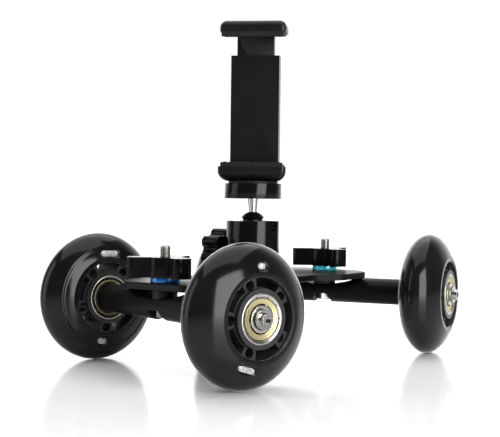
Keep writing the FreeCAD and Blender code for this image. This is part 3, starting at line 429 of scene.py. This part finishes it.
def pit_marks(name, place):
    """Small dark staking marks on each outer ring's open face, beside the shield."""
    verts, faces = [], []
    for side in (-1, 1):
        for mark in range(PIT_COUNT):
            turn = 2 * math.pi / PIT_COUNT * mark
            middle = Vector((PIT_RING * math.cos(turn), PIT_RING * math.sin(turn),
                             side * PIT_FLOOR))
            base = len(verts)
            for level in (0.0, PIT_THICKNESS):
                for step in range(PIT_POINTS):
                    spin = 2 * math.pi / PIT_POINTS * step
                    off = Vector((math.cos(spin), math.sin(spin), 0)) * PIT_RADIUS
                    verts.append(place @ ((middle + off + Vector((0, 0, side * level))) * MM))
            faces += skin(base, 1, PIT_POINTS)
            faces.append(cap(base + PIT_POINTS, PIT_POINTS))
            faces.append(cap(base, PIT_POINTS))
    return new_piece(name, verts, faces, PITS)


def outer_ring(low, high):
    """Section of a bearing's outer ring, with a low inner step."""
    face = [(9.2, high - 0.15), (10.1, high - 0.15), (10.2, high)]
    back = [(10.2, low), (10.1, low + 0.15), (9.2, low + 0.15)]
    outside = [(10.7, high), (10.93, high - 0.1), (11.0, high - 0.35),
               (11.0, low + 0.35), (10.93, low + 0.1), (10.7, low)]
    return face + outside + back


def shield(level, faces_out, inner):
    """Section of a pressed shield, with a rolled rim and a stepped inner edge."""
    up = 1 if faces_out else -1
    points = ((8.85, -0.25), (8.85, 0.12), (8.75, 0.3), (8.6, 0.3), (8.45, 0.18),
              (inner + 0.9, 0.18), (inner + 0.65, 0.12), (inner + 0.15, 0.0),
              (inner, -0.1), (inner, -0.3), (inner + 0.1, -0.3), (8.5, -0.1))
    return [(radius, level + rise * up) for radius, rise in points]


def shade_ring(low):
    """Section of a black ring inside the shield that faces the deck: painted shade, a dark ring
    where the beam's arm shades the bearing.
    """
    return rounded([(6.3, low - 0.1), (7.95, low - 0.1), (7.95, low + 0.4), (6.3, low + 0.4)], 0.1)


def bearing_pieces(name, body, place, axle_body):
    """The rings and shields of one wheel."""
    outers = lathe(f"{name}_bearing_rings", [outer_ring(*span) for span in BEARINGS], 240, STEEL,
                   place)
    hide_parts(f"{name}_bearing_outers")
    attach(outers, body)
    marks = pit_marks(f"{name}_pits", place)
    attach(marks, body)
    shields = [shield(level, faces_out, inner) for level, faces_out, inner in
               ((-11.45, False, 7.9), (-5.55, True, 6.5), (5.55, False, 6.5), (11.45, True, 6.5))]
    covers = lathe(f"{name}_shields", shields, 128, SHIELD, place)
    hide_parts(f"{name}_bearing_shields")
    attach(covers, body)
    # Painted shade: a black ring on the deck-side bearing face, where the beam's arm shades it.
    blank = lathe(f"{name}_seal", [shade_ring(-11.6)], 96, SHADE_RING, place)
    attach(blank, body)
    inner = [rounded([(4.0, low, 0.7), (5.9, low), (5.9, high), (4.0, high, 0.7)], 0.25)
             for low, high in BEARINGS]
    inners = lathe(f"{name}_inner_rings", inner, 128, STEEL, place)
    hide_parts(f"{name}_bearing_inners")
    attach(inners, axle_body)


for end in ENDS:
    for side in SIDES:
        name = f"{end}_{side}"
        place = wheel_frame(end, side)
        lenses = LENSES[name]
        tyre = lathe(f"{name}_urethane", [tyre_profile()], 320, URETHANE, place, tyre_shape(lenses))
        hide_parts(f"{name}_tyre")
        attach(tyre, f"{name}_wheel")
        lights = lens_pieces(f"{name}_lenses", lenses, place)
        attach(lights, f"{name}_wheel")
        bearing_pieces(name, f"{name}_wheel", place, f"{end}_axle")

# ------------------------------------------------------------------ pivot bolts


BOLT_TOP, HEAD_ROOF, HEAD_CHAMFER, HEAD_FLOOR = 60.2, 30.0, 26.75, 26.4
HEAD_RADIUS, HEAD_CHAMFER_RADIUS = 4.6, 4.05
THREAD_START, THREAD_PITCH, THREAD_MAJOR, THREAD_MINOR = 45.5, 0.8, 2.5, 2.1
POINT_LENGTH, POINT_STEP = 0.6, 0.15
SHANK_POINTS, SHANK_ROWS = 48, 150


def thread_radius(angle, height):
    """Radius of the bolt's shank: plain, then threaded, then chamfered at its end."""
    if height < THREAD_START:
        return THREAD_MAJOR
    phase = (height / THREAD_PITCH - angle / (2 * math.pi)) % 1.0
    tooth = 1 - abs(2 * phase - 1)
    radius = THREAD_MINOR + (THREAD_MAJOR - THREAD_MINOR) * min(1.0, tooth * 1.6)
    past = height - (BOLT_TOP - POINT_LENGTH)
    return min(radius, THREAD_MAJOR - POINT_STEP - past) if past > 0 else radius


def ring_point(x, angle, radius, height):
    """A point of a pivot bolt, in metres."""
    return Vector((x + radius * math.cos(angle), radius * math.sin(angle), height)) * MM


def pivot_bolt(end):
    """A bolt with a real thread above the beam and a chamfered hexagon head."""
    x = joints[f"{end}_steer"]["pos_m"][0] / MM
    verts = []
    for row in range(SHANK_ROWS + 1):
        height = HEAD_ROOF + (BOLT_TOP - HEAD_ROOF) * row / SHANK_ROWS
        for step in range(SHANK_POINTS):
            angle = 2 * math.pi * step / SHANK_POINTS
            verts.append(ring_point(x, angle, thread_radius(angle, height), height))
    faces = skin(0, SHANK_ROWS, SHANK_POINTS)
    faces.append(cap(SHANK_ROWS * SHANK_POINTS, SHANK_POINTS))
    axis_x, axis_y = joints[f"{end}_right_spin"]["axis"][:2]
    beam_turn = math.atan2(-axis_x, axis_y)
    base = len(verts)
    for height, reach in ((HEAD_FLOOR, HEAD_CHAMFER_RADIUS), (HEAD_CHAMFER, HEAD_RADIUS),
                          (HEAD_ROOF, HEAD_RADIUS)):
        for step in range(6):
            verts.append(ring_point(x, beam_turn + math.pi * step / 3, reach, height))
    faces += skin(base, 2, 6)
    faces.append(cap(base, 6)[::-1])
    faces.append(cap(base + 12, 6))
    bolt = new_piece(f"{end}_threaded_bolt", verts, faces, ZINC)
    bolt.data.set_sharp_from_angle(angle=math.radians(32))
    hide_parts(f"{end}_pivot_bolt")
    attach(bolt, f"{end}_axle")


for end in ENDS:
    pivot_bolt(end)

# ------------------------------------------------------------------ washers and jaw pads


WASHER_BORE, WASHER_RADIUS, WASHER_FLOOR, WASHER_ROOF = 2.56, 6.9, 42.8, 45.3


def washer(end, material):
    """An anodised washer with a rounded rim, between the deck and the knob."""
    x = joints[f"{end}_steer"]["pos_m"][0]
    section = rounded([(WASHER_BORE, WASHER_FLOOR), (WASHER_RADIUS, WASHER_FLOOR),
                       (WASHER_RADIUS, WASHER_ROOF), (WASHER_BORE, WASHER_ROOF)], 0.35)
    piece = lathe(f"{end}_washer", [section], 96, material, Matrix.Translation((x, 0, 0)))
    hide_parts("pivot_washers")
    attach(piece, "deck")


# Painted light: the rear washer gets the shaded copy and the front washer the lit copy of the same
# blue.
washer("rear", WASHER_PAINTED_SHADE)
washer("front", WASHER_PAINTED_LIT)

CLAMP_TURN = math.radians(-60.1)
PAD_FRONT, PAD_LIP_BACK, PAD_BACK, PAD_THICK = -9.5, -7.7, 2.6, 1.4
RIB_PITCH, RIB_DEPTH, COLUMN_WIDTH = 3.0, 0.5, 0.15


def pad_section(reach, rib):
    """A pad's section as (depth, height off the jaw); rib is the cut between two ribs."""
    lip, bed = reach - rib, PAD_THICK - rib * 0.6
    return [(PAD_FRONT, 0), (PAD_FRONT, lip - 0.35), (PAD_FRONT + 0.12, lip - 0.12),
            (PAD_FRONT + 0.4, lip), (PAD_LIP_BACK - 0.4, lip), (PAD_LIP_BACK, lip - 0.35),
            (PAD_LIP_BACK + 0.05, bed), (PAD_BACK, bed), (PAD_BACK, 0)]


def ribbed_pad(name, body, half, reach, jaw, up):
    """A rubber jaw pad whose ribs run from front to back and show along its lip."""
    turn = Matrix.Rotation(CLAMP_TURN, 4, "Z")
    verts = []
    columns = int(half * 2 / COLUMN_WIDTH)
    for column in range(columns + 1):
        x = -half + half * 2 * column / columns
        valley = 1 - abs(math.sin(math.pi * x / RIB_PITCH)) ** 0.7
        ending = max(0.0, 1 - (half - abs(x)) / 0.5)
        section = pad_section(reach, RIB_DEPTH * max(valley, ending ** 2))
        verts += [turn @ (Vector((x, depth, jaw + up * height)) * MM) for depth, height in section]
    count = len(section)
    faces = skin(0, columns, count)
    faces.append(cap(0, count))
    faces.append(cap(columns * count, count))
    piece = new_piece(f"{name}_ribbed", verts, faces, RUBBER)
    piece.data.set_sharp_from_angle(angle=math.radians(40))
    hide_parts(name)
    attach(piece, body)


ribbed_pad("lower_pad", "head_top", 15.8, 2.4, 98.6, 1)
ribbed_pad("upper_pad", "jaw", 15.9, 2.8, 166.8, -1)

# ------------------------------------------------------------------ studio


def panel(name, place, target, width, height, watts):
    """A soft rectangular light that faces a point."""
    data = bpy.data.lights.new(name, "AREA")
    data.shape = "RECTANGLE"
    data.size = width
    data.size_y = height
    data.energy = watts
    light = bpy.data.objects.new(name, data)
    light.location = place
    light.visible_camera = False
    light.rotation_euler = (Vector(target) - Vector(place)).to_track_quat("-Z", "Y").to_euler()
    bpy.context.scene.collection.objects.link(light)


def build_world():
    """White to the camera; for light and reflections, bright behind and dim in front."""
    world = bpy.data.worlds.new("studio")
    bpy.context.scene.world = world
    world.use_nodes = True
    tree = world.node_tree
    tree.nodes.clear()
    out = tree.nodes.new("ShaderNodeOutputWorld")
    seen = tree.nodes.new("ShaderNodeBackground")
    seen.inputs["Color"].default_value = (1, 1, 1, 1)
    seen.inputs["Strength"].default_value = 1.05
    lit = tree.nodes.new("ShaderNodeBackground")
    place = tree.nodes.new("ShaderNodeTexCoord")
    direction = tree.nodes.new("ShaderNodeVectorMath")
    direction.operation = "DOT_PRODUCT"
    direction.inputs[1].default_value = FORWARD
    tree.links.new(place.outputs["Generated"], direction.inputs[0])
    ramp = tree.nodes.new("ShaderNodeMapRange")
    ramp.interpolation_type = "SMOOTHSTEP"
    ramp.inputs["From Min"].default_value = 0.3
    ramp.inputs["From Max"].default_value = 0.9
    ramp.inputs["To Min"].default_value = 0.18
    ramp.inputs["To Max"].default_value = 2.3
    tree.links.new(direction.outputs["Value"], ramp.inputs["Value"])
    tree.links.new(ramp.outputs["Result"], lit.inputs["Strength"])
    path = tree.nodes.new("ShaderNodeLightPath")
    mix = tree.nodes.new("ShaderNodeMixShader")
    tree.links.new(path.outputs["Is Camera Ray"], mix.inputs["Fac"])
    tree.links.new(lit.outputs["Background"], mix.inputs[1])
    tree.links.new(seen.outputs["Background"], mix.inputs[2])
    tree.links.new(mix.outputs["Shader"], out.inputs["Surface"])


FORWARD = Vector((0.797, 0.604, 0.0))
RIGHT = Vector((0.604, -0.797, 0.0))
build_world()
MIDDLE = Vector((0, 0, 0.06))


def around(degrees, distance):
    """A place round the object, at an angle to the right of where the camera stands."""
    turn = math.radians(degrees)
    return MIDDLE + (RIGHT * math.sin(turn) - FORWARD * math.cos(turn)) * distance


RISE = Vector((0, 0, 0.5))
panel("right_softbox", around(36, 1.1) + RISE * 0.75, MIDDLE + RISE * 0.6, 0.75, 0.9, 22)
panel("left_softbox", around(-80, 1.3) + RISE, MIDDLE + RISE * 0.8, 0.7, 1.25, 6)
panel("overhead_softbox", Vector((0.1, 0.1, 1.5)), MIDDLE, 2.0, 2.0, 27)

floor_mesh = bpy.data.meshes.new("floor")
floor_mesh.from_pydata([(-12, -12, 0), (12, -12, 0), (12, 12, 0), (-12, 12, 0)], [], [(0, 1, 2, 3)])
floor = bpy.data.objects.new("floor", floor_mesh)
bpy.context.scene.collection.objects.link(floor)
FLOOR = finish("pale_floor", (0.86, 0.86, 0.86), (0.88, 0.88, 0.88), (0.1, 0.14), patch=3,
               grain=30, relief=0.0, specular=0.8)
floor_mesh.materials.append(FLOOR)

# ------------------------------------------------------------------ camera

lens = bpy.data.cameras.new("camera")
lens.sensor_width = 36.0
lens.lens = 83.9
lens.clip_start = 0.01
camera = bpy.data.objects.new("camera", lens)
bpy.context.scene.collection.objects.link(camera)
camera.location = Vector((-478.31, -360.92, 85.21)) * MM
PITCH, AZIMUTH, ROLL = math.radians(-1.26), math.radians(-52.83), math.radians(0.69)
camera.matrix_world = (Matrix.Translation(camera.location) @ Matrix.Rotation(AZIMUTH, 4, "Z")
                       @ Matrix.Rotation(math.pi / 2 + PITCH, 4, "X")
                       @ Matrix.Rotation(ROLL, 4, "Z"))
bpy.context.scene.camera = camera
bpy.context.scene.view_settings.view_transform = "Standard"
